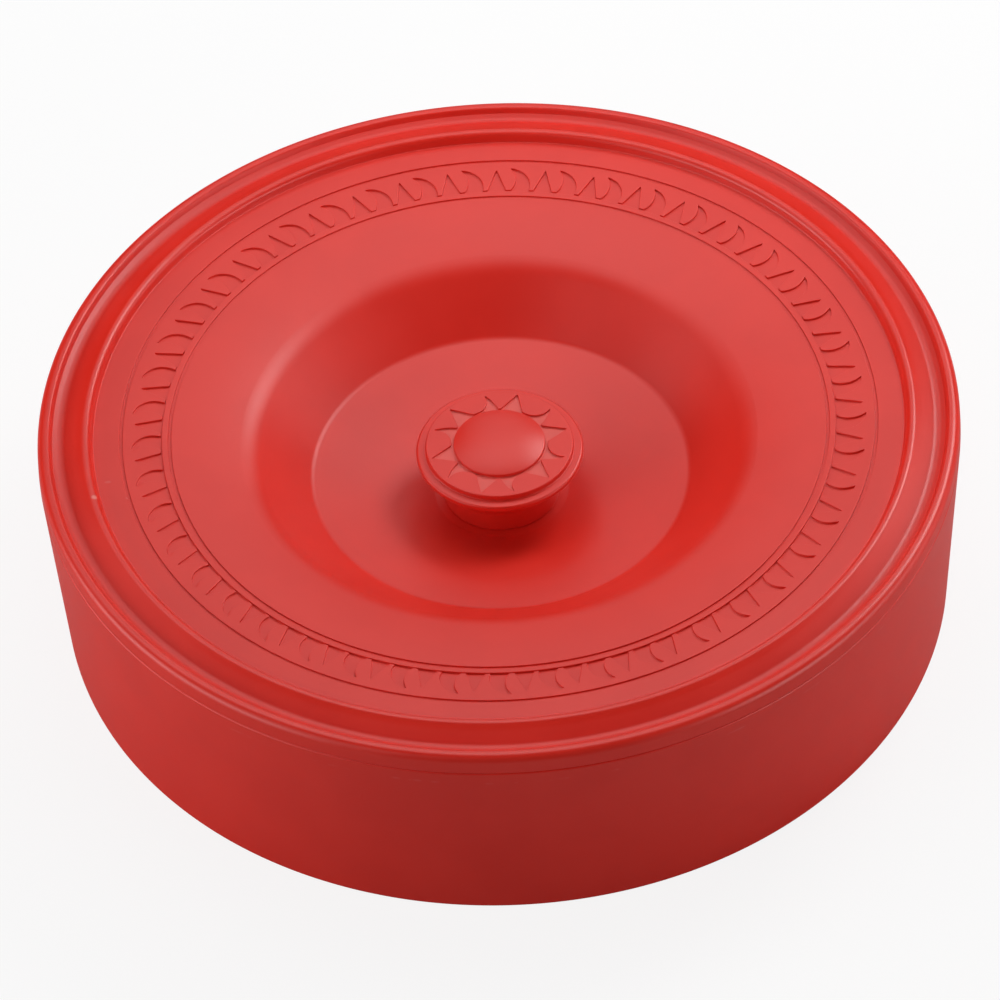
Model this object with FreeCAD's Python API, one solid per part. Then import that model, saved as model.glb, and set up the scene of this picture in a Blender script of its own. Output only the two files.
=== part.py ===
import FreeCAD, Part
import math
import os

# Round covered dish for warm tortillas, in millimetres and degrees.
# The origin is the middle of the base's underside, and +Z is up.
# Heights in the lid and the knob are counted up from the face that each one rests on,
# and insets in the lid are counted in from its rim.

# Base: a drafted dish standing on a shallow foot ring.
rim_radius = 105.3
foot_inset = 2.9
base_height = 47.6
base_wall = 2.6
base_floor = 2.6
foot_ring_width = 6.0
foot_recess = 1.0
foot_recess_fillet = 0.4
foot_edge_fillet = 0.8
base_inner_fillet = 7.0
base_rim_fillet = 0.5

# Lid: flange, rounded lip, rounded valley and ridge round its edge, from the outside in.
# Each is given by the corner that its fillet rounds off.
lid_wall = 2.4
flange_draft = 0.2
flange_seam_fillet = 0.5
lip_height = 4.8
lip_outer_fillet = 1.8
lip_inset = 2.75
lip_inner_fillet = 0.8
lip_foot_inset = 3.4
lip_foot_height = 3.55
lip_foot_fillet = 0.4
valley_inset = 5.3
valley_height = 2.6
valley_fillet = 2.2
ridge_inset = 11.8
ridge_height = 5.9
ridge_fillet = 1.5
ridge_foot_inset = 12.7
ridge_foot_fillet = 0.3

# Lid: the locating skirt that drops inside the base's mouth.
skirt_depth = 5.0
skirt_wall = 2.2
skirt_clearance = 0.5
skirt_edge_fillet = 0.5
skirt_root_fillet = 0.8

# Lid: shoulder, hand recess and knob seat.
shoulder_height = 2.9
shoulder_margin = 0.3
shoulder_radius = 120.0
shoulder_slope = 16.0
recess_edge_fillet = 12.0
recess_floor_radius = 43.4
recess_floor_height = -13.6
recess_wall_slope = 40.0
recess_floor_fillet = 3.0
knob_seat_height = -19.2
knob_seat_margin = 2.0
knob_seat_fillet = 2.0
knob_hole_radius = 5.0
knob_hole_chamfer = 0.4

# Lid: the ring of sun rays sunk in the shoulder, between two engraved rings.
ray_pair_count = 45
ray_depth = 0.5
ray_length = 6.3
ray_root_width = 0.3
ray_gap_width = 1.1
ray_ring_gap = 2.35
ray_tip_lean = 2.4
ring_inset = 6.4
ring_groove_width = 0.7
ring_groove_depth = 0.35
inner_ring_land = 1.75

# Knob: a mushroom head on a hollow neck.
knob_head_radius = 19.15
knob_head_height = 12.2
knob_head_thickness = 1.3
knob_head_fillet = 0.6
knob_under_fillet = 0.5
knob_top_step = 2.25
knob_top_height = 1.4
knob_top_wall = 3.0
knob_top_fillet = 0.25
knob_neck_radius = 13.4
knob_neck_fillet = 0.3
knob_waist_radius = 12.4
knob_waist_height = 6.4
knob_waist_fillet = 5.0
knob_wall = 2.4
knob_cavity_fillet = 0.6

# Knob: the dome on top, in a sunk sun of fewer and larger rays.
dome_radius = 10.5
dome_edge_height = 0.3
dome_height = 1.7
sun_ray_pair_count = 6
sun_depth = 0.5
sun_root_width = 0.6
sun_ray_length = 5.0
sun_gap_width = 0.6
sun_tip_lean = -0.25
sun_turn = 12.7

# Knob: the split stem that snaps through the lid.
stem_clearance = 0.08
stem_bore_radius = 2.6
barb_reach = 0.9
barb_gap = 0.2
barb_land = 0.8
barb_length = 3.2
barb_lead = 0.6
finger_root_height = 4.0
slot_width = 1.6
slot_count = 2

# Flame rays: their reach, then a point on the swelling and on the hollow flank,
# as shares of a ray's length and of half its width.
lid_flame = (1.07, (0.69, -0.66), (0.62, 0.52))
knob_flame = (1.04, (0.6, -0.52), (0.6, -0.23))

full_turn = 360.0
axis_point = FreeCAD.Vector(0, 0, 0)
axis = FreeCAD.Vector(0, 0, 1)
cut_margin = 1.0
same_point = 1e-6


def section_point(radius, height):
    return FreeCAD.Vector(radius, 0, height)


def polar(radius, degrees, height):
    angle = math.radians(degrees)
    return FreeCAD.Vector(radius * math.cos(angle), radius * math.sin(angle), height)


def degrees_across(width, radius):
    return math.degrees(width / radius)


def fillet_reaches(corners, points, halves):
    """How far each fillet runs along its sides, drawn in where two would overlap."""
    count = len(corners)
    reaches = [corner[2] / math.tan(half) for corner, half in zip(corners, halves)]
    for i in range(count):
        following = (i + 1) % count
        side = points[i].distanceToPoint(points[following])
        wanted = reaches[i] + reaches[following]
        if wanted > side:
            reaches[i] *= side / wanted
            reaches[following] *= side / wanted
    return reaches


def rounded_outline(corners):
    """Closed face in the XZ plane. Each corner is radius, height, fillet."""
    count = len(corners)
    points = [section_point(r, z) for r, z, fillet in corners]
    to_last = [(points[i - 1] - points[i]).normalize() for i in range(count)]
    to_next = [(points[(i + 1) % count] - points[i]).normalize() for i in range(count)]
    halves = [a.getAngle(b) / 2 for a, b in zip(to_last, to_next)]
    reaches = fillet_reaches(corners, points, halves)
    starts = [points[i] + to_last[i] * reaches[i] for i in range(count)]
    ends = [points[i] + to_next[i] * reaches[i] for i in range(count)]
    edges = []
    for i in range(count):
        if reaches[i] > 0:
            inward = (to_last[i] + to_next[i]).normalize()
            radius = reaches[i] * math.tan(halves[i])
            middle = points[i] + inward * (radius / math.sin(halves[i]) - radius)
            edges.append(Part.Arc(starts[i], middle, ends[i]).toShape())
        following = starts[(i + 1) % count]
        if ends[i].distanceToPoint(following) > same_point:
            edges.append(Part.LineSegment(ends[i], following).toShape())
    return Part.Face(Part.Wire(edges))


def turned(corners):
    return rounded_outline(corners).revolve(axis_point, axis, full_turn)


def offset_corners(corners, distance):
    """The same open path moved square to itself, to the left of its direction."""
    moved = []
    last = len(corners) - 1
    for i, (r, z, fillet) in enumerate(corners):
        before = corners[max(i - 1, 0)]
        after = corners[min(i + 1, last)]
        into = math.atan2(z - before[1], r - before[0]) if i > 0 else None
        out = math.atan2(after[1] - z, after[0] - r) if i < last else None
        into = out if into is None else into
        out = into if out is None else out
        square = (into + out) / 2 + math.pi / 2
        stretch = distance / math.cos((out - into) / 2)
        turn = math.copysign(1, out - into)
        new_fillet = max(fillet - turn * distance, fillet / 4) if fillet else 0
        new_r = r + stretch * math.cos(square)
        new_z = z + stretch * math.sin(square)
        moved.append((new_r, new_z, new_fillet))
    return moved


def base_outer_radius(height):
    return rim_radius - foot_inset * (1 - height / base_height)


def base_inner_radius(height):
    return base_outer_radius(height) - base_wall


def make_base():
    foot_outer = base_outer_radius(0)
    foot_inner = foot_outer - foot_ring_width
    floor_top = foot_recess + base_floor
    return turned([
        (0, foot_recess, 0),
        (foot_inner - foot_recess, foot_recess, foot_recess_fillet),
        (foot_inner, 0, foot_recess_fillet),
        (foot_outer, 0, foot_edge_fillet),
        (rim_radius, base_height, base_rim_fillet),
        (base_inner_radius(base_height), base_height, base_rim_fillet),
        (base_inner_radius(floor_top), floor_top, base_inner_fillet),
        (0, floor_top, 0),
    ])


def ridge_foot_radius():
    return rim_radius - ridge_foot_inset


def shoulder_path(outer_end):
    """Top of the lid inside its ridge, from the outside in."""
    slope = math.radians(shoulder_slope)
    wall = math.radians(recess_wall_slope)
    shoulder_z = base_height + shoulder_height
    shoulder_r = ridge_foot_radius() - shoulder_margin - shoulder_radius * math.tan(slope / 2)
    floor_z = base_height + recess_floor_height
    drop = shoulder_z - floor_z
    edge_run = drop - shoulder_r * math.tan(slope) + recess_floor_radius * math.tan(wall)
    edge_r = edge_run / (math.tan(wall) - math.tan(slope))
    edge_z = floor_z + (edge_r - recess_floor_radius) * math.tan(wall)
    seat_z = base_height + knob_seat_height
    return [
        (outer_end, shoulder_z, 0),
        (shoulder_r, shoulder_z, shoulder_radius),
        (edge_r, edge_z, recess_edge_fillet),
        (recess_floor_radius, floor_z, recess_floor_fillet),
        (knob_neck_radius + knob_seat_margin, seat_z, knob_seat_fillet),
        (knob_hole_radius + knob_hole_chamfer, seat_z, 0),
    ]


def make_plain_lid():
    seat = base_height
    skirt_bottom = seat - skirt_depth
    skirt_outer = base_inner_radius(skirt_bottom) - skirt_clearance
    skirt_inner = skirt_outer - skirt_wall
    upper = shoulder_path(ridge_foot_radius())
    under = offset_corners(shoulder_path(skirt_inner), lid_wall)
    edge = [
        (ridge_foot_radius(), seat + shoulder_height, ridge_foot_fillet),
        (rim_radius - ridge_inset, seat + ridge_height, ridge_fillet),
        (rim_radius - valley_inset, seat + valley_height, valley_fillet),
        (rim_radius - lip_foot_inset, seat + lip_foot_height, lip_foot_fillet),
        (rim_radius - lip_inset, seat + lip_height, lip_inner_fillet),
        (rim_radius - flange_draft, seat + lip_height, lip_outer_fillet),
        (rim_radius, seat, flange_seam_fillet),
    ]
    skirt = [
        (base_inner_radius(seat) - skirt_clearance, seat, 0),
        (skirt_outer, skirt_bottom, skirt_edge_fillet),
        (skirt_inner, skirt_bottom, skirt_edge_fillet),
        (skirt_inner, under[0][1], skirt_root_fillet),
    ]
    hole = [
        (knob_hole_radius, under[-1][1], 0),
        (knob_hole_radius, upper[-1][1] - knob_hole_chamfer, 0),
    ]
    return turned(upper[:0:-1] + edge + skirt + under[1:-1] + hole)


def shoulder_height_at(radius, depth):
    """Height of the shoulder's arc, or of an arc the given depth under it."""
    arc_end = ridge_foot_radius() - shoulder_margin
    centre_z = base_height + shoulder_height - shoulder_radius
    reach = shoulder_radius - depth
    return centre_z + math.sqrt(reach ** 2 - (arc_end - radius) ** 2)


def shoulder_layer(inner, outer, depth):
    """Ring from the given depth under the shoulder to well above the lid."""
    above = base_height + ridge_height
    middle = (inner + outer) / 2
    low = section_point(inner, shoulder_height_at(inner, depth))
    mid = section_point(middle, shoulder_height_at(middle, depth))
    high = section_point(outer, shoulder_height_at(outer, depth))
    top_out = section_point(outer, above)
    top_in = section_point(inner, above)
    edges = [
        Part.Arc(low, mid, high).toShape(),
        Part.LineSegment(high, top_out).toShape(),
        Part.LineSegment(top_out, top_in).toShape(),
        Part.LineSegment(top_in, low).toShape(),
    ]
    return Part.Face(Part.Wire(edges)).revolve(axis_point, axis, full_turn)


def straight_ray(root, length, middle, half, height):
    left = polar(root, middle - half, height)
    tip = polar(root + length, middle, height)
    right = polar(root, middle + half, height)
    return [
        Part.LineSegment(left, tip).toShape(),
        Part.LineSegment(tip, right).toShape(),
    ]


def flame_ray(root, length, middle, half, lean, flame, height):
    """A ray with one swelling flank and one hollow flank, its tip leaning by an angle."""
    reach, swell_share, hollow_share = flame
    left = polar(root, middle - half, height)
    swell = polar(root + length * swell_share[0], middle + half * swell_share[1], height)
    tip = polar(root + length * reach, middle + lean, height)
    hollow = polar(root + length * hollow_share[0], middle + half * hollow_share[1], height)
    right = polar(root, middle + half, height)
    return [
        Part.Arc(left, swell, tip).toShape(),
        Part.Arc(tip, hollow, right).toShape(),
    ]


def sun_prism(pairs, inner, root, length, gap, lean, flame, bottom, height):
    """Upright prism of a ring of rays, straight and flame in turn, round a plain circle."""
    step = full_turn / pairs / 2
    half_gap = degrees_across(gap, root) / 2
    half = step / 2 - half_gap
    tip_lean = degrees_across(lean, root)
    edges = []
    for pair in range(pairs):
        middle = pair * step * 2
        edges += straight_ray(root, length, middle, half, bottom)
        valley_a = polar(root, middle + half, bottom)
        valley_b = polar(root, middle + step - half, bottom)
        edges.append(Part.LineSegment(valley_a, valley_b).toShape())
        edges += flame_ray(root, length, middle + step, half, tip_lean, flame, bottom)
        valley_c = polar(root, middle + step + half, bottom)
        valley_d = polar(root, middle + 2 * step - half, bottom)
        edges.append(Part.LineSegment(valley_c, valley_d).toShape())
    outline = Part.Face(Part.Wire(edges))
    prism = outline.extrude(FreeCAD.Vector(0, 0, height))
    core = Part.makeCylinder(inner, height, FreeCAD.Vector(0, 0, bottom))
    return prism.cut(core)


def ring_groove(radius):
    half = ring_groove_width / 2
    return shoulder_layer(radius - half, radius + half, ring_groove_depth)


def make_lid():
    outer_ring = ridge_foot_radius() - ring_inset
    tips = outer_ring - ring_groove_width / 2 - ray_ring_gap
    root = tips - ray_length
    inner = root - ray_root_width
    inner_ring = inner - inner_ring_land
    bottom = shoulder_height_at(inner, ray_depth) - cut_margin
    height = base_height + ridge_height + cut_margin - bottom
    sun = sun_prism(
        ray_pair_count, inner, root, ray_length, ray_gap_width, ray_tip_lean, lid_flame,
        bottom, height)
    pocket = sun.common(shoulder_layer(inner - cut_margin, outer_ring, ray_depth))
    lid = make_plain_lid().cut(pocket)
    lid = lid.cut(ring_groove(outer_ring))
    return lid.cut(ring_groove(inner_ring))


def make_knob_body():
    seat = base_height + knob_seat_height
    stem = knob_hole_radius - stem_clearance
    barb = knob_hole_radius + barb_reach
    barb_top = seat - lid_wall - barb_gap
    barb_bottom = barb_top - barb_land
    stem_end = barb_bottom - barb_length
    finger_root = seat + finger_root_height
    head_low = seat + knob_head_height
    head_top = head_low + knob_head_thickness
    step_r = knob_head_radius - knob_top_step
    top = head_top + knob_top_height
    cavity_top = top - knob_top_wall
    dome_edge = top + dome_edge_height
    dome_top = dome_edge + dome_height
    dome_curve = (dome_radius ** 2 + dome_height ** 2) / (2 * dome_height)
    dome_slope = math.asin(dome_radius / dome_curve)
    return turned([
        (0, finger_root, 0),
        (stem_bore_radius, finger_root, 0),
        (stem_bore_radius, stem_end, 0),
        (stem - barb_lead, stem_end, 0),
        (barb, barb_bottom, 0),
        (barb, barb_top, 0),
        (stem, barb_top, 0),
        (stem, cavity_top, knob_cavity_fillet),
        (knob_waist_radius - knob_wall, cavity_top, knob_cavity_fillet),
        (knob_neck_radius - knob_wall, seat, 0),
        (knob_neck_radius, seat, knob_neck_fillet),
        (knob_waist_radius, seat + knob_waist_height, knob_waist_fillet),
        (knob_head_radius, head_low, knob_under_fillet),
        (knob_head_radius, head_top, knob_head_fillet),
        (step_r, head_top, knob_top_fillet),
        (step_r, top, knob_top_fillet),
        (dome_radius, top, 0),
        (dome_radius, dome_edge, knob_top_fillet),
        (dome_curve * math.tan(dome_slope / 2), dome_top, dome_curve),
        (0, dome_top, 0),
    ])


def make_knob():
    knob = make_knob_body()
    seat = base_height + knob_seat_height
    top = seat + knob_head_height + knob_head_thickness + knob_top_height
    root = dome_radius + sun_root_width
    sun = sun_prism(
        sun_ray_pair_count, dome_radius, root, sun_ray_length, sun_gap_width, sun_tip_lean,
        knob_flame, top - sun_depth, sun_depth + cut_margin)
    sun.rotate(axis_point, axis, sun_turn)
    knob = knob.cut(sun)
    stem_end = seat - lid_wall - barb_gap - barb_land - barb_length
    slot_length = 2 * (knob_hole_radius + barb_reach + cut_margin)
    slot_height = seat + finger_root_height - stem_end
    for i in range(slot_count):
        slot = Part.makeBox(slot_length, slot_width, slot_height)
        slot.translate(FreeCAD.Vector(-slot_length / 2, -slot_width / 2, stem_end))
        slot.rotate(axis_point, axis, full_turn / 2 / slot_count * i)
        knob = knob.cut(slot)
    return knob


os.makedirs("parts", exist_ok=True)
for name, shape in (("base", make_base()), ("lid", make_lid()), ("knob", make_knob())):
    shape.exportStep(f"parts/{name}.step")
    print(name, "valid", shape.isValid(), "solids", len(shape.Solids), "volume", round(shape.Volume))
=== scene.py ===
import math
from collections import namedtuple

import bmesh
import bpy
from mathutils import Matrix, Vector
from mathutils.geometry import intersect_line_line


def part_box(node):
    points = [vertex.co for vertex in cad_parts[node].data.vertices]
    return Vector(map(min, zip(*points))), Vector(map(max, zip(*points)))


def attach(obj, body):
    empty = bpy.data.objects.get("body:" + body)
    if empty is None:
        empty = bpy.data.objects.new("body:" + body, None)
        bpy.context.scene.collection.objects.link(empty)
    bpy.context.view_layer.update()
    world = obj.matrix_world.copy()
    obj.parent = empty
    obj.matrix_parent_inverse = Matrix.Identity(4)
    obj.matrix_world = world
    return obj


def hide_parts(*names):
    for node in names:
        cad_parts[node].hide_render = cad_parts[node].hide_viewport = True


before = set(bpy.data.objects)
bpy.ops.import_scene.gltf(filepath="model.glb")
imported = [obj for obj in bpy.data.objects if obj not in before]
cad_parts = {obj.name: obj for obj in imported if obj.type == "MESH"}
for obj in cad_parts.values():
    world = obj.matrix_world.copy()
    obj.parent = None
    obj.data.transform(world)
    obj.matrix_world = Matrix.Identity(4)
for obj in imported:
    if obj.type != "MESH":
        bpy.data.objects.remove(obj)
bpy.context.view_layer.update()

MM = 0.001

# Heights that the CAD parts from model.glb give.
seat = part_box("base")[1].z
lid_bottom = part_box("lid")[0].z
stem_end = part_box("knob")[0].z

# Base.
rim_radius = 105.3 * MM
foot_radius = 102.4 * MM
base_wall = 2.6 * MM
base_floor = 2.6 * MM
foot_ring_width = 6.0 * MM
foot_recess = 1.0 * MM
foot_recess_fillet = 0.4 * MM
foot_edge_fillet = 0.8 * MM
base_inner_fillet = 7.0 * MM
base_rim_fillet = 0.5 * MM

# Lid: its rim, skirt, shoulder and recess. Insets are counted in from the rim.
lid_wall = 2.4 * MM
flange_draft = 0.2 * MM
flange_seam_fillet = 0.5 * MM
lip_height = 4.8 * MM
lip_outer_fillet = 1.8 * MM
lip_inset = 2.75 * MM
lip_inner_fillet = 0.8 * MM
lip_foot_inset = 3.4 * MM
lip_foot_height = 3.55 * MM
lip_foot_fillet = 0.4 * MM
valley_inset = 5.3 * MM
valley_height = 2.6 * MM
valley_fillet = 2.2 * MM
ridge_inset = 11.8 * MM
ridge_height = 5.9 * MM
ridge_fillet = 1.5 * MM
ridge_foot_inset = 12.7 * MM
ridge_foot_fillet = 0.3 * MM
skirt_depth = 5.0 * MM
skirt_wall = 2.2 * MM
skirt_clearance = 0.5 * MM
skirt_edge_fillet = 0.5 * MM
skirt_root_fillet = 0.8 * MM
shoulder_height = 2.9 * MM
shoulder_margin = 0.3 * MM
shoulder_radius = 120.0 * MM
shoulder_slope = math.radians(16)
recess_edge_fillet = 12.0 * MM
recess_floor_radius = 43.4 * MM
recess_floor_height = -13.6 * MM
recess_wall_slope = math.radians(40)
recess_floor_fillet = 3.0 * MM
knob_seat_margin = 2.0 * MM
knob_seat_fillet = 2.0 * MM
knob_hole_radius = 5.0 * MM
knob_hole_chamfer = 0.4 * MM

# Lid: its rays, and the engraved rings on both sides of them.
ray_pairs = 45
ray_length = 6.3 * MM
ray_root_width = 0.3 * MM
ray_gap_width = 1.1 * MM
ray_ring_gap = 2.35 * MM
ray_tip_lean = 2.4 * MM
ring_inset = 6.4 * MM
ring_groove_width = 0.7 * MM
ring_groove_depth = 0.35 * MM
inner_ring_land = 1.75 * MM

# Knob.
knob_head_radius = 19.15 * MM
knob_head_height = 12.2 * MM
knob_head_thickness = 1.3 * MM
knob_head_fillet = 0.6 * MM
knob_under_fillet = 0.5 * MM
knob_top_step = 2.25 * MM
knob_top_height = 1.4 * MM
knob_top_wall = 3.0 * MM
knob_top_fillet = 0.25 * MM
knob_neck_radius = 13.4 * MM
knob_neck_fillet = 0.3 * MM
knob_waist_radius = 12.4 * MM
knob_waist_height = 6.4 * MM
knob_waist_fillet = 5.0 * MM
knob_wall = 2.4 * MM
knob_cavity_fillet = 0.6 * MM
dome_radius = 10.5 * MM
dome_edge_height = 0.3 * MM
dome_height = 1.7 * MM
sun_ray_pairs = 6
sun_root_width = 0.6 * MM
sun_ray_length = 5.0 * MM
sun_gap_width = 0.6 * MM
sun_tip_lean = -0.25 * MM
sun_turn = math.radians(12.7)
stem_clearance = 0.08 * MM
stem_bore_radius = 2.6 * MM
barb_reach = 0.9 * MM
barb_land = 0.8 * MM
barb_length = 3.2 * MM
barb_lead = 0.6 * MM
finger_root_height = 4.0 * MM
slot_width = 1.6 * MM
slot_length = 20.0 * MM
slot_overshoot = 1.0 * MM

# Suns: rings of sunk rays, straight and flame-shaped in turn.
Sun = namedtuple("Sun", "pairs inner root length gap lean flame rim turn")

# A flame's reach, and a point on each flank, as shares of its length and half its width.
Flame = namedtuple("Flame", "reach swell hollow")
lid_flame = Flame(1.07, (0.69, -0.66), (0.62, 0.52))
knob_flame = Flame(1.04, (0.6, -0.52), (0.6, -0.23))
sun_depth = 0.5 * MM
sun_edge = 0.09 * MM
sun_wall_run = 0.02 * MM
ray_corner = 0.12 * MM

# How finely the meshes are cut.
columns = 360
arc_sag = 0.003 * MM
finest_arc_step, coarsest_arc_step = math.radians(6), math.radians(30)
longest_arc_step = 3.0 * MM
flank_steps = 8
merge_distance = 0.0005 * MM

# The least that a fillet keeps of itself when its corner moves inwards.
least_fillet_share = 0.25


def fillet_reaches(corners, points, halves):
    """How far each fillet runs along its sides, drawn in where two would overlap."""
    reaches = [corner[2] / math.tan(half) for corner, half in zip(corners, halves)]
    for i in range(len(points) - 1):
        side = (points[i + 1] - points[i]).length
        wanted = reaches[i] + reaches[i + 1]
        if wanted > side:
            reaches[i] *= side / wanted
            reaches[i + 1] *= side / wanted
    return reaches


def arc_steps(sweep, radius):
    """How many chords an arc is cut into: by their sag, within the limits on one chord."""
    step = 2 * math.acos(max(1 - arc_sag / radius, 0))
    step = min(max(step, finest_arc_step), coarsest_arc_step, longest_arc_step / radius)
    return max(math.ceil(sweep / step), 2)


def arc_between(start, end, corner, half):
    """Points of the fillet that touches both sides of a corner, its ends included."""
    radius = (start - corner).length * math.tan(half)
    inward = ((start - corner).normalized() + (end - corner).normalized()).normalized()
    centre = corner + inward * (radius / math.sin(half))
    a, b = start - centre, end - centre
    sweep = math.pi - 2 * half
    steps = arc_steps(sweep, radius)
    side = math.copysign(1, a.x * b.y - a.y * b.x)
    turn = [Matrix.Rotation(side * sweep * i / steps, 2) for i in range(steps + 1)]
    return [centre + m @ a for m in turn]


def rounded(corners):
    """An open path through corners of radius, height and fillet, as points."""
    points = [Vector(corner[:2]) for corner in corners]
    last = len(points) - 1
    halves = [math.pi / 4] * len(points)
    for i in range(1, last):
        halves[i] = (points[i - 1] - points[i]).angle(points[i + 1] - points[i]) / 2
    reaches = fillet_reaches(corners, points, halves)
    path = [points[0]]
    for i in range(1, last):
        if reaches[i] == 0:
            path.append(points[i])
            continue
        to_last = (points[i - 1] - points[i]).normalized()
        to_next = (points[i + 1] - points[i]).normalized()
        start = points[i] + to_last * reaches[i]
        end = points[i] + to_next * reaches[i]
        path += arc_between(start, end, points[i], halves[i])
    path.append(points[last])
    return path


def turned(mesh, path):
    """A wall turned from the path. A point on the axis closes the wall there."""
    rings = []
    for r, z in path:
        if r < merge_distance:
            rings.append([mesh.verts.new((0, 0, z))] * columns)
            continue
        angles = [math.tau * i / columns for i in range(columns)]
        rings.append([mesh.verts.new((r * math.cos(a), r * math.sin(a), z)) for a in angles])
    for low, high in zip(rings, rings[1:]):
        for i in range(columns):
            j = (i + 1) % columns
            corners = [low[i], low[j], high[j], high[i]]
            mesh.faces.new(list(dict.fromkeys(corners)))


def polar(radius, angle):
    return Vector((radius * math.cos(angle), radius * math.sin(angle)))


def arc_through(a, b, c):
    """Points of the circle's arc from a through b to c."""
    bisectors = []
    for low, high in ((a, b), (b, c)):
        middle = low.lerp(high, 0.5).to_3d()
        chord = high - low
        bisectors += [middle, middle + Vector((-chord.y, chord.x, 0)).normalized()]
    centre = intersect_line_line(*bisectors)[0].to_2d()
    start, end = a - centre, c - centre
    sweep = start.angle_signed(end)
    turn = [Matrix.Rotation(-sweep * i / flank_steps, 2) for i in range(flank_steps + 1)]
    return [centre + m @ start for m in turn]


def line_between(a, c):
    return [a.lerp(c, i / flank_steps) for i in range(flank_steps + 1)]


def with_soft_corners(legs):
    """One line along the legs, with a small arc wherever two of them meet."""
    line = [legs[0][0]]
    start_cut = 0
    for leg, following in zip(legs, legs[1:] + [None]):
        end_cut = 0
        corner = leg[-1]
        if following:
            half = (leg[-2] - corner).angle(following[1] - corner) / 2
            end_cut = ray_corner / math.tan(half)
        line += [p for p in leg[1:-1]
                 if (p - leg[0]).length > start_cut and (p - corner).length > end_cut]
        if following:
            start = corner + (leg[-2] - corner).normalized() * end_cut
            end = corner + (following[1] - corner).normalized() * end_cut
            line += arc_between(start, end, corner, half)
        start_cut = end_cut
    line.append(legs[-1][-1])
    return line


def ray_line(sun):
    """Edge of one straight ray and one flame, from the middle of a valley to the next but one."""
    step = math.pi / sun.pairs
    half_gap = sun.gap / sun.root / 2
    half = step / 2 - half_gap
    lean = sun.lean / sun.root
    base = [polar(sun.root, a) for a in (-half, half, step - half, step + half)]
    tip = polar(sun.root + sun.length, 0)
    flame_tip = polar(sun.root + sun.length * sun.flame.reach, step + lean)
    swell, hollow = (polar(sun.root + sun.length * along, step + half * sideways)
                     for along, sideways in (sun.flame.swell, sun.flame.hollow))
    valley = sun.root * math.cos(half_gap)
    return with_soft_corners([
        [polar(valley, -step / 2), base[0]],
        line_between(base[0], tip),
        line_between(tip, base[1]),
        [base[1], base[2]],
        arc_through(base[2], swell, flame_tip),
        arc_through(flame_tip, hollow, base[3]),
        [base[3], polar(valley, step * 3 / 2)],
    ])


def wall_section():
    """Offsets into the pocket and drops, down the pocket's rounded wall."""
    reach = sun_wall_run / 2 + sun_edge
    return rounded([
        (-reach - sun_edge, 0, 0),
        (-sun_wall_run / 2, 0, sun_edge),
        (sun_wall_run / 2, -sun_depth, sun_edge),
        (reach + sun_edge, -sun_depth, 0),
    ])[1:-1]


def across(line, i):
    """Unit vector square to the line at one of its points, towards the axis."""
    before = line[max(i - 1, 0)]
    after = line[min(i + 1, len(line) - 1)]
    along = (after - before).normalized()
    return Vector((-along.y, along.x))


def sunk_sun(mesh, sun, height):
    """The land outside a sun's rays, their wall and their floor, in equal sectors."""
    step = math.pi / sun.pairs
    line = ray_line(sun)
    section = wall_section()
    last = len(line) - 1
    squares = [across(line, i) for i in range(len(line))]
    squares[0] = -polar(1, -step / 2)
    squares[last] = -polar(1, step * 3 / 2)
    per_sector = columns // sun.pairs
    arc = [-step / 2 + math.tau * i / columns for i in range(per_sector + 1)]
    floor_radius = sun.inner + section[-1].x

    def place(point, drop):
        return point.to_3d() + Vector((0, 0, height(point.length) + drop))

    rows = [[place(line[i] + squares[i] * s.x, s.y) for i in range(len(line))] for s in section]
    rim = [place(polar(sun.rim, a), 0) for a in arc]
    floor = [place(polar(floor_radius, a), -sun_depth) for a in arc]
    edge_radius = rows[0][0].to_2d().length
    side = sun.rim - edge_radius
    count = math.ceil(side / longest_arc_step)
    radii = [edge_radius + side * i / count for i in range(1, count)]
    left = [place(polar(r, arc[0]), 0) for r in radii]
    right = [place(polar(r, arc[-1]), 0) for r in radii]
    land = rows[0] + right + rim[::-1] + left[::-1]
    ground = floor + rows[-1][::-1]
    for pair in range(sun.pairs):
        spin = Matrix.Rotation(sun.turn + 2 * step * pair, 3, "Z")
        made = [[mesh.verts.new(spin @ p) for p in row] for row in rows]
        for upper, lower in zip(made, made[1:]):
            for i in range(last):
                mesh.faces.new([upper[i], upper[i + 1], lower[i + 1], lower[i]])
        flats = []
        for outline in (land, ground):
            flats.append(mesh.faces.new([mesh.verts.new(spin @ p) for p in outline]))
        bmesh.ops.triangulate(mesh, faces=flats, ngon_method="BEAUTY")


def finished_object(name, mesh, body, nodes):
    """A smooth object from the mesh, riding with its body in place of the CAD's nodes."""
    bmesh.ops.remove_doubles(mesh, verts=mesh.verts, dist=merge_distance)
    bmesh.ops.recalc_face_normals(mesh, faces=mesh.faces)
    data = bpy.data.meshes.new(name)
    mesh.to_mesh(data)
    mesh.free()
    data.shade_smooth()
    piece = bpy.data.objects.new(name, data)
    bpy.context.scene.collection.objects.link(piece)
    piece.modifiers.new("even_normals", "WEIGHTED_NORMAL")
    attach(piece, body)
    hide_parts(*nodes)
    return piece


def base_outer(height):
    return foot_radius + (rim_radius - foot_radius) * height / seat


def base_inner(height):
    return base_outer(height) - base_wall


def make_base():
    foot_inner = foot_radius - foot_ring_width
    floor_top = foot_recess + base_floor
    mesh = bmesh.new()
    turned(mesh, rounded([
        (0, foot_recess, 0),
        (foot_inner - foot_recess, foot_recess, foot_recess_fillet),
        (foot_inner, 0, foot_recess_fillet),
        (foot_radius, 0, foot_edge_fillet),
        (rim_radius, seat, base_rim_fillet),
        (base_inner(seat), seat, base_rim_fillet),
        (base_inner(floor_top), floor_top, base_inner_fillet),
        (0, floor_top, 0),
    ]))
    return finished_object("dish", mesh, "base", ["base"])


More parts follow.
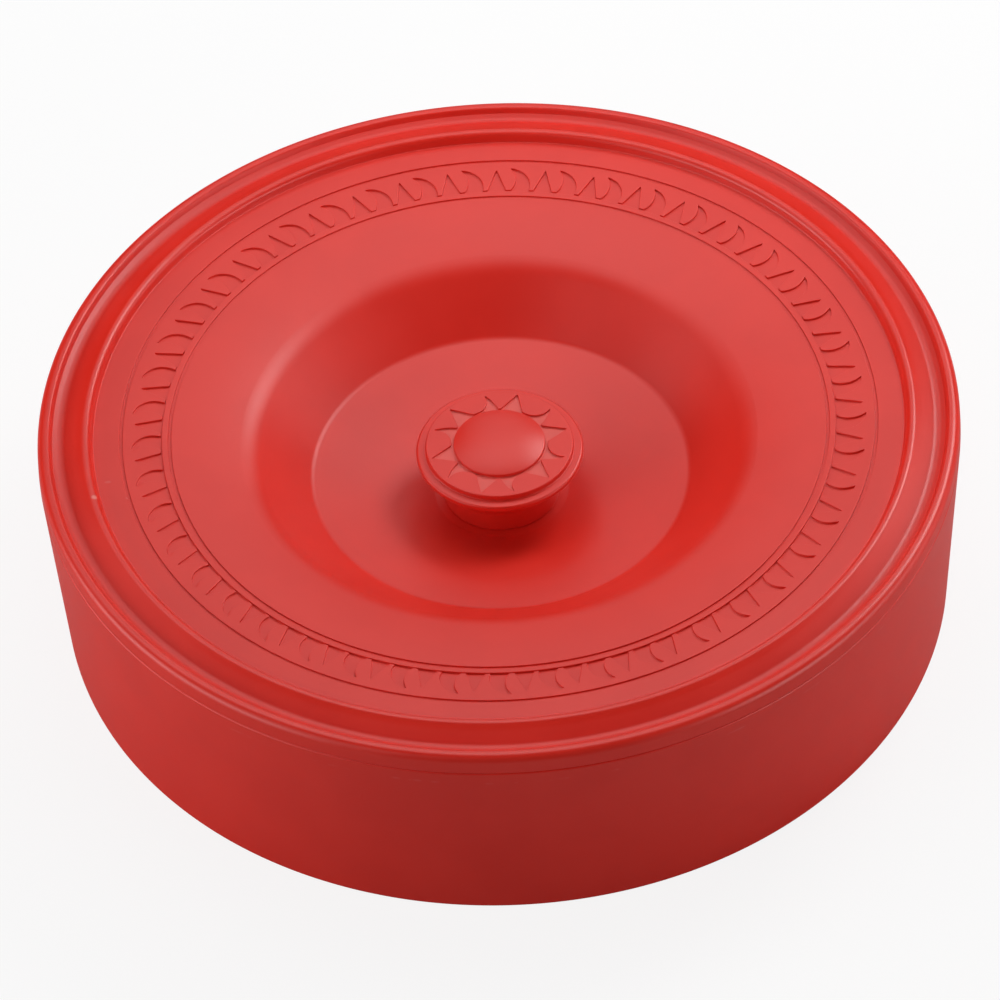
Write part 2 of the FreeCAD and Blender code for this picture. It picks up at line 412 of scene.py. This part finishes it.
ridge_foot = rim_radius - ridge_foot_inset
shoulder_arc_end = ridge_foot - shoulder_margin
shoulder_z = seat + shoulder_height
knob_seat = lid_bottom + lid_wall


def shoulder_path(outer_end):
    """Top of the lid inside its ridge, from the outside in."""
    shoulder_r = shoulder_arc_end - shoulder_radius * math.tan(shoulder_slope / 2)
    floor_z = seat + recess_floor_height
    fall, climb = math.tan(shoulder_slope), math.tan(recess_wall_slope)
    edge_run = shoulder_z - floor_z - shoulder_r * fall + recess_floor_radius * climb
    edge_r = edge_run / (climb - fall)
    edge_z = floor_z + (edge_r - recess_floor_radius) * climb
    return [
        (outer_end, shoulder_z, 0),
        (shoulder_r, shoulder_z, shoulder_radius),
        (edge_r, edge_z, recess_edge_fillet),
        (recess_floor_radius, floor_z, recess_floor_fillet),
        (knob_neck_radius + knob_seat_margin, knob_seat, knob_seat_fillet),
        (knob_hole_radius + knob_hole_chamfer, knob_seat, 0),
    ]


def offset_corners(corners, distance):
    """The same open path moved square to itself, to the left of its direction."""
    moved = []
    last = len(corners) - 1
    for i, (r, z, fillet) in enumerate(corners):
        before = corners[max(i - 1, 0)]
        after = corners[min(i + 1, last)]
        into = math.atan2(z - before[1], r - before[0]) if i > 0 else None
        out = math.atan2(after[1] - z, after[0] - r) if i < last else None
        into = out if into is None else into
        out = into if out is None else out
        square = (into + out) / 2 + math.pi / 2
        stretch = distance / math.cos((out - into) / 2)
        turn = math.copysign(1, out - into)
        new_fillet = max(fillet - turn * distance, fillet * least_fillet_share) if fillet else 0
        new_r = r + stretch * math.cos(square)
        new_z = z + stretch * math.sin(square)
        moved.append((new_r, new_z, new_fillet))
    return moved


def shoulder_height_at(radius):
    """Height of the shoulder's top on its arc."""
    centre_z = shoulder_z - shoulder_radius
    return centre_z + math.sqrt(shoulder_radius ** 2 - (shoulder_arc_end - radius) ** 2)


def engraved(radius):
    """Section of an engraved ring, from the outside in, as radius and drop."""
    half = ring_groove_width / 2
    return [Vector((radius + s.x, s.y)) for s in rounded([
        (half + sun_edge * 2, 0, 0),
        (half, 0, sun_edge),
        (half, -ring_groove_depth, sun_edge),
        (-half, -ring_groove_depth, sun_edge),
        (-half, 0, sun_edge),
        (-half - sun_edge * 2, 0, 0),
    ])]


def on_shoulder(section):
    return [Vector((s.x, shoulder_height_at(s.x) + s.y)) for s in section]


def make_lid():
    skirt_low = seat - skirt_depth
    skirt_outer = base_inner(skirt_low) - skirt_clearance
    skirt_inner = skirt_outer - skirt_wall
    skirt_top = base_inner(seat) - skirt_clearance
    upper = shoulder_path(ridge_foot)
    under = offset_corners(shoulder_path(skirt_inner), lid_wall)
    crown = rounded([
        (skirt_top, seat, 0),
        (rim_radius, seat, flange_seam_fillet),
        (rim_radius - flange_draft, seat + lip_height, lip_outer_fillet),
        (rim_radius - lip_inset, seat + lip_height, lip_inner_fillet),
        (rim_radius - lip_foot_inset, seat + lip_foot_height, lip_foot_fillet),
        (rim_radius - valley_inset, seat + valley_height, valley_fillet),
        (rim_radius - ridge_inset, seat + ridge_height, ridge_fillet),
        (ridge_foot, shoulder_z, ridge_foot_fillet),
    ] + upper[1:])
    belly = rounded([upper[-1]] + [
        (knob_hole_radius, knob_seat - knob_hole_chamfer, 0),
        (knob_hole_radius, under[-1][1], 0),
    ] + under[-2:0:-1] + [
        (skirt_inner, under[0][1], skirt_root_fillet),
        (skirt_inner, skirt_low, skirt_edge_fillet),
        (skirt_outer, skirt_low, skirt_edge_fillet),
        (skirt_top, seat, 0),
    ])
    outer_ring = ridge_foot - ring_inset
    tips = outer_ring - ring_groove_width / 2 - ray_ring_gap
    root = tips - ray_length
    inner = root - ray_root_width
    outer_groove = on_shoulder(engraved(outer_ring))
    inner_groove = on_shoulder(engraved(inner - inner_ring_land))
    section = wall_section()
    inner_wall = on_shoulder([Vector((inner + s.x, s.y)) for s in section[::-1]])
    sun = Sun(ray_pairs, inner, root, ray_length, ray_gap_width, ray_tip_lean, lid_flame,
              outer_groove[-1].x, 0)
    outside = [p for p in crown if p.x > outer_groove[0].x]
    inside = [p for p in crown if p.x < inner_groove[-1].x]
    outward = outer_groove[::-1] + outside[::-1] + belly[::-1][1:-1]
    path = outward + inside[::-1] + inner_groove[::-1] + inner_wall[::-1]
    mesh = bmesh.new()
    turned(mesh, path)
    sunk_sun(mesh, sun, shoulder_height_at)
    return finished_object("cover", mesh, "lid", ["lid"])


def cut_slots(stem):
    """Splits the stem's end into four fingers."""
    for turn in (0, math.pi / 2):
        mesh = bmesh.new()
        bmesh.ops.create_cube(mesh, size=1)
        low, high = stem_end - slot_overshoot, knob_seat + finger_root_height
        size = (slot_length, slot_width, high - low)
        place = Matrix.Rotation(turn, 4, "Z") @ Matrix.Translation((0, 0, (low + high) / 2))
        mesh.transform(place @ Matrix.Diagonal((*size, 1)))
        data = bpy.data.meshes.new("slot")
        mesh.to_mesh(data)
        mesh.free()
        cutter = bpy.data.objects.new("slot", data)
        bpy.context.scene.collection.objects.link(cutter)
        cut = stem.modifiers.new("slot", "BOOLEAN")
        cut.operation = "DIFFERENCE"
        cut.solver = "EXACT"
        cut.object = cutter
        bpy.context.view_layer.update()
        evaluated = stem.evaluated_get(bpy.context.evaluated_depsgraph_get())
        new_data = bpy.data.meshes.new_from_object(evaluated)
        stem.modifiers.clear()
        stem.data = new_data
        bpy.data.objects.remove(cutter)


def make_knob():
    stem = knob_hole_radius - stem_clearance
    barb = knob_hole_radius + barb_reach
    barb_bottom = stem_end + barb_length
    barb_top = barb_bottom + barb_land
    finger_root = knob_seat + finger_root_height
    head_low = knob_seat + knob_head_height
    head_top = head_low + knob_head_thickness
    step_r = knob_head_radius - knob_top_step
    top = head_top + knob_top_height
    cavity_top = top - knob_top_wall
    dome_edge = top + dome_edge_height
    dome_top = dome_edge + dome_height
    dome_curve = (dome_radius ** 2 + dome_height ** 2) / (2 * dome_height)
    dome_slope = math.asin(dome_radius / dome_curve)
    section = wall_section()
    floor_radius = dome_radius + section[-1].x
    rim = step_r - 2 * knob_top_fillet
    dome = rounded([
        (0, dome_top, 0),
        (dome_curve * math.tan(dome_slope / 2), dome_top, dome_curve),
        (dome_radius, dome_edge, knob_top_fillet),
        (dome_radius, top - sun_depth, sun_edge),
        (floor_radius, top - sun_depth, 0),
    ])
    body = rounded([
        (rim, top, 0),
        (step_r, top, knob_top_fillet),
        (step_r, head_top, knob_top_fillet),
        (knob_head_radius, head_top, knob_head_fillet),
        (knob_head_radius, head_low, knob_under_fillet),
        (knob_waist_radius, knob_seat + knob_waist_height, knob_waist_fillet),
        (knob_neck_radius, knob_seat, knob_neck_fillet),
        (knob_neck_radius - knob_wall, knob_seat, 0),
        (knob_waist_radius - knob_wall, cavity_top, knob_cavity_fillet),
        (stem, cavity_top, knob_cavity_fillet),
        (stem, barb_top, 0),
        (barb, barb_top, 0),
        (barb, barb_bottom, 0),
        (stem - barb_lead, stem_end, 0),
        (stem_bore_radius, stem_end, 0),
        (stem_bore_radius, finger_root, 0),
        (0, finger_root, 0),
    ])
    sun = Sun(sun_ray_pairs, dome_radius, dome_radius + sun_root_width, sun_ray_length,
              sun_gap_width, sun_tip_lean, knob_flame, rim, sun_turn)
    mesh = bmesh.new()
    turned(mesh, dome)
    turned(mesh, body)
    sunk_sun(mesh, sun, lambda radius: top)
    knob = finished_object("knob_moulding", mesh, "knob", ["knob"])
    cut_slots(knob)
    return knob


# The camera, fitted to the photograph.
camera_distance = 1.6999
camera_elevation = math.radians(46.624)
camera_roll = math.radians(-3.198)
camera_focal_px = 7296.46
picture_px = 1000
sensor_width_mm = 36
origin_right_px, origin_down_px = 6.607, 72.996


def make_camera():
    """The photograph's view: the origin lies right of and below the picture's middle."""
    data = bpy.data.cameras.new("camera")
    data.sensor_width = sensor_width_mm
    data.lens = sensor_width_mm * camera_focal_px / picture_px
    camera = bpy.data.objects.new("camera", data)
    bpy.context.scene.collection.objects.link(camera)
    pan = math.atan2(origin_right_px, camera_focal_px)
    tilt = math.atan2(origin_down_px, camera_focal_px)
    aim = (Matrix.Rotation(math.pi / 2 - camera_elevation, 4, "X")
           @ Matrix.Rotation(camera_roll, 4, "Z")
           @ Matrix.Rotation(tilt, 4, "X")
           @ Matrix.Rotation(pan, 4, "Y"))
    away = Vector((0, -math.cos(camera_elevation), math.sin(camera_elevation)))
    camera.matrix_world = Matrix.Translation(away * camera_distance) @ aim
    bpy.context.scene.camera = camera


# The plastic: a satin red, the paler red of rubbed plastic, and a paler red painted on as sheen.
plastic_red = (0.77, 0.025, 0.014, 1)
plastic_red_deep = (0.74, 0.022, 0.012, 1)
rubbed_red = (0.84, 0.20, 0.17, 1)
painted_sheen_red = (0.80, 0.085, 0.066, 1)
satin_roughness = 0.38
roughness_spread = 0.05
polished_roughness = 0.31
rubbed_roughness = 0.50
grain_size, grain_depth = 0.35 * MM, 0.005 * MM
wave_size, wave_depth = 18 * MM, 0.03 * MM
cloud_limits = (0.35, 0.65)
relief_unit = 1.0

# Marks on the lid: the middle of each, and its half sizes.
Mark = namedtuple("Mark", "place size")
nick_mark = Mark((-92.1 * MM, -19.2 * MM, 52.6 * MM), (0.9 * MM, 0.9 * MM, 0.9 * MM))
scuff_mark = Mark((-89.1 * MM, -12.4 * MM, shoulder_z), (1.0 * MM, 0.5 * MM, 1.0 * MM))
speck_mark = Mark((-84.8 * MM, -17.6 * MM, shoulder_z), (0.5 * MM, 0.5 * MM, 1.0 * MM))
mark_limits = (1.0, 0.4)
mark_depth = 0.06 * MM

# Limits of the other finishes and of the painted sheen: where each starts and where it is full.
crest_drop_limits = (0.5 * MM, 0.1 * MM)
foot_height_limits = (0.4 * MM, 0.1 * MM)
gate_height_limits = (1.6 * MM, 1.4 * MM)
gate_outer_limits = (3.2 * MM, 3.0 * MM)
gate_inner_limits = (2.2 * MM, 2.5 * MM)
stacking_low_limits = (43.9 * MM, 44.4 * MM)
stacking_high_limits = (44.9 * MM, 44.4 * MM)
stacking_radius_limits = (104.0 * MM, 104.3 * MM)
# Painted sheen: where the knob's sunk sun floor is painted a paler red for caught light.
sheen_top_drop_limits = (0.25 * MM, 0.35 * MM)
sheen_low_drop_limits = (0.7 * MM, 0.6 * MM)
sheen_radius_limits = (16.8 * MM, 16.6 * MM)
grip_radius_limits = (17.5 * MM, 18.5 * MM)

# Noise that breaks up the wear: sizes of its grains, and its limits.
chatter_size, chatter_limits = 4 * MM, (0.52, 0.75)
scratch_width, scratch_limits = 0.25 * MM, (0.7, 1.0)
scratch_press = 0.04
patch_size, patch_limits = 30 * MM, (0.5, 0.7)

# How strongly each kind of wear shows.
mark_wear, foot_wear, stacking_wear = 0.3, 0.35, 0.3
lid_scratch_wear, base_scratch_wear, knob_scratch_wear = 0.12, 0.10, 0.15

# The floor: its looks, and how far from the axis the camera sees it turn to white.
white = (1, 1, 1, 1)
floor_half_size = 6.0
floor_grey = (0.45, 0.45, 0.45, 1)
floor_seen = (0.9, 0.9, 0.9, 1)
floor_roughness = 0.9
white_radius_limits = (0.15, 0.5)
nearest_whiteness = 0.86

# The studio: softboxes by azimuth and elevation in degrees, with metres and watts.
Softbox = namedtuple("Softbox", "name azimuth elevation distance size power")
softboxes = [
    Softbox("front_right", 330, 12, 1.0, 0.6, 3.1),
    Softbox("front_left", 210, 12, 1.0, 0.6, 2.8),
    Softbox("left", 180, 12, 1.0, 0.6, 3.4),
    Softbox("right", 0, 12, 1.0, 0.6, 1.5),
    Softbox("key", 45, 45, 0.7, 0.3, 1.4),
    Softbox("top_left", 120, 65, 1.0, 0.6, 0.95),
    Softbox("front_left_high", 225, 40, 1.0, 0.6, 0.75),
    Softbox("top_right", 60, 65, 1.0, 0.6, 0.35),
    Softbox("back_right_low", 20, 26, 1.0, 0.5, 0.3),
    Softbox("back_near", 90, 52, 0.5, 0.3, 0.17),
    Softbox("back_low_near", 90, 30, 0.5, 0.3, 0.15),
    Softbox("back_left_near", 150, 52, 0.5, 0.3, 0.2),
    Softbox("back_right_near", 30, 52, 0.5, 0.3, 0.25),
    Softbox("top_near", 90, 78, 0.5, 0.3, 0.2),
]


class Nodes:
    """A material's nodes, with short ways to add and join them."""

    def __init__(self, name):
        self.material = bpy.data.materials.new(name)
        self.material.use_nodes = True
        self.tree = self.material.node_tree
        self.shader = self.tree.nodes["Principled BSDF"]
        self.place = self.add("TexCoord", {}, "Object")
        flat = self.add("VectorMath", {0: self.place, 1: (1, 1, 0)}, operation="MULTIPLY")
        self.radius = self.add("VectorMath", {0: flat}, "Value", operation="LENGTH")
        self.height = self.add("SeparateXYZ", {0: self.place}, "Z")

    def add(self, kind, inputs, output=0, **settings):
        node = self.tree.nodes.new("ShaderNode" + kind)
        for key, value in settings.items():
            setattr(node, key, value)
        for key, value in inputs.items():
            if isinstance(value, bpy.types.NodeSocket):
                self.tree.links.new(value, node.inputs[key])
            else:
                node.inputs[key].default_value = value
        return node.outputs[output]

    def math(self, operation, a, b=0.0):
        return self.add("Math", {0: a, 1: b}, operation=operation)

    def noise(self, grain, stretch=(1, 1, 1)):
        """Noise with grains of the given size, drawn out or pressed by the stretch."""
        spread = self.add("VectorMath", {0: self.place, 1: stretch}, operation="MULTIPLY")
        return self.add("TexNoise", {"Vector": spread, "Scale": 1 / grain})

    def ramp(self, value, zero_at, one_at):
        """From zero to one as the value runs from the first limit to the second."""
        if zero_at < one_at:
            inputs = {"Value": value, "From Min": zero_at, "From Max": one_at}
            return self.add("MapRange", inputs, interpolation_type="SMOOTHSTEP")
        return self.math("SUBTRACT", 1.0, self.ramp(value, one_at, zero_at))

    def all_of(self, *masks):
        """One where every mask is."""
        result = masks[0]
        for mask in masks[1:]:
            result = self.math("MULTIPLY", result, mask)
        return result

    def any_of(self, *masks):
        """One where at least one mask is."""
        result = masks[0]
        for mask in masks[1:]:
            result = self.math("MAXIMUM", result, mask)
        return result

    def below(self, top):
        """How far a point lies below the given height."""
        return self.math("SUBTRACT", top, self.height)

    def spot(self, mark):
        """One in the middle of the mark's ellipsoid, zero outside it."""
        away = self.add("VectorMath", {0: self.place, 1: mark.place}, operation="SUBTRACT")
        scaled = self.add("VectorMath", {0: away, 1: mark.size}, operation="DIVIDE")
        length = self.add("VectorMath", {0: scaled}, "Value", operation="LENGTH")
        return self.ramp(length, *mark_limits)

    def scratches(self, stretch, wear):
        """Sparse fine scratches along one direction, in patches."""
        lines = self.ramp(self.noise(scratch_width, stretch), *scratch_limits)
        patches = self.ramp(self.noise(patch_size), *patch_limits)
        return self.math("MULTIPLY", self.all_of(lines, patches), wear)

    def mix(self, share, a, b):
        return self.add("Mix", {"Factor": share, "A": a, "B": b}, "Result", data_type="RGBA")


def make_plastic(nodes, rubbed, polished=None, painted_sheen=None, dents=None):
    """Satin moulded plastic. Each mask is one where it has that finish, or painted sheen (a paler
    red for caught light).
    """
    cloud = nodes.noise(wave_size)
    red = nodes.mix(nodes.ramp(cloud, *cloud_limits), plastic_red_deep, plastic_red)
    # Painted sheen: a paler red that stands for light caught, not a finish of the plastic.
    if painted_sheen:
        red = nodes.mix(painted_sheen, red, painted_sheen_red)
    red = nodes.mix(rubbed, red, rubbed_red)
    shine = nodes.add("MapRange", {
        "Value": cloud, "To Min": satin_roughness - roughness_spread / 2,
        "To Max": satin_roughness + roughness_spread / 2})
    if polished:
        shine = nodes.add("Mix", {"Factor": polished, "A": shine, "B": polished_roughness})
    shine = nodes.add("Mix", {"Factor": rubbed, "A": shine, "B": rubbed_roughness})
    relief = nodes.math("ADD", nodes.math("MULTIPLY", nodes.noise(grain_size), grain_depth),
                        nodes.math("MULTIPLY", cloud, wave_depth))
    if dents:
        relief = nodes.math("SUBTRACT", relief, nodes.math("MULTIPLY", dents, mark_depth))
    bump = nodes.add("Bump", {"Height": relief, "Distance": relief_unit})
    nodes.tree.links.new(red, nodes.shader.inputs["Base Color"])
    nodes.tree.links.new(shine, nodes.shader.inputs["Roughness"])
    nodes.tree.links.new(bump, nodes.shader.inputs["Normal"])
    return nodes.material


def lid_plastic():
    """Crests polished by wiping, a nick in the ridge and two faint marks beside it."""
    nodes = Nodes("lid_plastic")
    polished = nodes.ramp(nodes.below(seat + lip_height), *crest_drop_limits)
    nick = nodes.spot(nick_mark)
    marks = nodes.any_of(nodes.spot(scuff_mark), nodes.spot(speck_mark))
    scratches = nodes.scratches((1, scratch_press, 1), lid_scratch_wear)
    rubbed = nodes.any_of(nick, nodes.math("MULTIPLY", marks, mark_wear), scratches)
    return make_plastic(nodes, rubbed, polished=polished, dents=nodes.any_of(nick, marks))


def base_plastic():
    """A worn foot ring, the line rubbed by stacking, and the gate mark underneath."""
    nodes = Nodes("base_plastic")
    foot = nodes.ramp(nodes.height, *foot_height_limits)
    gate = nodes.all_of(
        nodes.ramp(nodes.radius, *gate_outer_limits), nodes.ramp(nodes.radius, *gate_inner_limits),
        nodes.ramp(nodes.height, *gate_height_limits))
    stacking = nodes.all_of(
        nodes.ramp(nodes.height, *stacking_low_limits),
        nodes.ramp(nodes.height, *stacking_high_limits),
        nodes.ramp(nodes.radius, *stacking_radius_limits),
        nodes.ramp(nodes.noise(chatter_size), *chatter_limits))
    rubbed = nodes.any_of(
        nodes.math("MULTIPLY", foot, foot_wear),
        nodes.math("MULTIPLY", stacking, stacking_wear),
        nodes.scratches((1, 1, scratch_press), base_scratch_wear))
    return make_plastic(nodes, rubbed, dents=gate)


def knob_plastic():
    """A grip polished by fingers, and painted sheen: the sunk sun's floor painted a paler red for
    the light it catches.
    """
    nodes = Nodes("knob_plastic")
    drop = nodes.below(knob_seat + knob_head_height + knob_head_thickness + knob_top_height)
    # Painted sheen: the sunk sun's floor, painted paler for the light it catches.
    painted_sheen = nodes.all_of(
        nodes.ramp(drop, *sheen_top_drop_limits), nodes.ramp(drop, *sheen_low_drop_limits),
        nodes.ramp(nodes.radius, *sheen_radius_limits))
    grip = nodes.ramp(nodes.radius, *grip_radius_limits)
    scratches = nodes.scratches((scratch_press, 1, 1), knob_scratch_wear)
    return make_plastic(nodes, scratches, polished=grip, painted_sheen=painted_sheen)


def make_floor():
    """A pale floor, clear from below. The camera sees it turn to white away from the object."""
    mesh = bmesh.new()
    bmesh.ops.create_grid(mesh, x_segments=1, y_segments=1, size=floor_half_size)
    data = bpy.data.meshes.new("floor")
    mesh.to_mesh(data)
    mesh.free()
    floor = bpy.data.objects.new("floor", data)
    bpy.context.scene.collection.objects.link(floor)
    nodes = Nodes("floor")
    seen = nodes.add("LightPath", {}, "Is Camera Ray")
    grey = nodes.mix(seen, floor_grey, floor_seen)
    nodes.tree.links.new(grey, nodes.shader.inputs["Base Color"])
    nodes.shader.inputs["Roughness"].default_value = floor_roughness
    glow = nodes.add("Emission", {"Color": white})
    far = nodes.ramp(nodes.radius, *white_radius_limits)
    whiteness = nodes.add("MapRange", {"Value": far, "To Min": nearest_whiteness, "To Max": 1.0})
    share = nodes.math("MULTIPLY", seen, whiteness)
    lit = nodes.shader.outputs["BSDF"]
    top = nodes.add("MixShader", {0: share, 1: lit, 2: glow}, "Shader")
    from_below = nodes.add("NewGeometry", {}, "Backfacing")
    clear = nodes.add("BsdfTransparent", {})
    one_sided = nodes.add("MixShader", {0: from_below, 1: top, 2: clear}, "Shader")
    output = nodes.tree.nodes["Material Output"]
    nodes.tree.links.new(one_sided, output.inputs["Surface"])
    floor.data.materials.append(nodes.material)


def make_softbox(box):
    data = bpy.data.lights.new(box.name, "AREA")
    data.shape = "DISK"
    data.size = box.size
    data.energy = box.power
    light = bpy.data.objects.new(box.name, data)
    bpy.context.scene.collection.objects.link(light)
    a, e = math.radians(box.azimuth), math.radians(box.elevation)
    away = Vector((math.cos(a) * math.cos(e), math.sin(a) * math.cos(e), math.sin(e)))
    turn = away.to_track_quat("Z", "Y").to_matrix().to_4x4()
    light.matrix_world = Matrix.Translation(away * box.distance) @ turn


def make_studio():
    """White where the camera looks past the floor, and dark to every other ray."""
    world = bpy.data.worlds.new("studio")
    world.use_nodes = True
    tree = world.node_tree
    background = tree.nodes["Background"]
    background.inputs["Color"].default_value = white
    path = tree.nodes.new("ShaderNodeLightPath")
    tree.links.new(path.outputs["Is Camera Ray"], background.inputs["Strength"])
    bpy.context.scene.world = world
    for box in softboxes:
        make_softbox(box)


bpy.context.scene.view_settings.view_transform = "Standard"
for piece, plastic in (
        (make_base(), base_plastic()), (make_lid(), lid_plastic()), (make_knob(), knob_plastic())):
    piece.data.materials.clear()
    piece.data.materials.append(plastic)
make_floor()
make_studio()
make_camera()
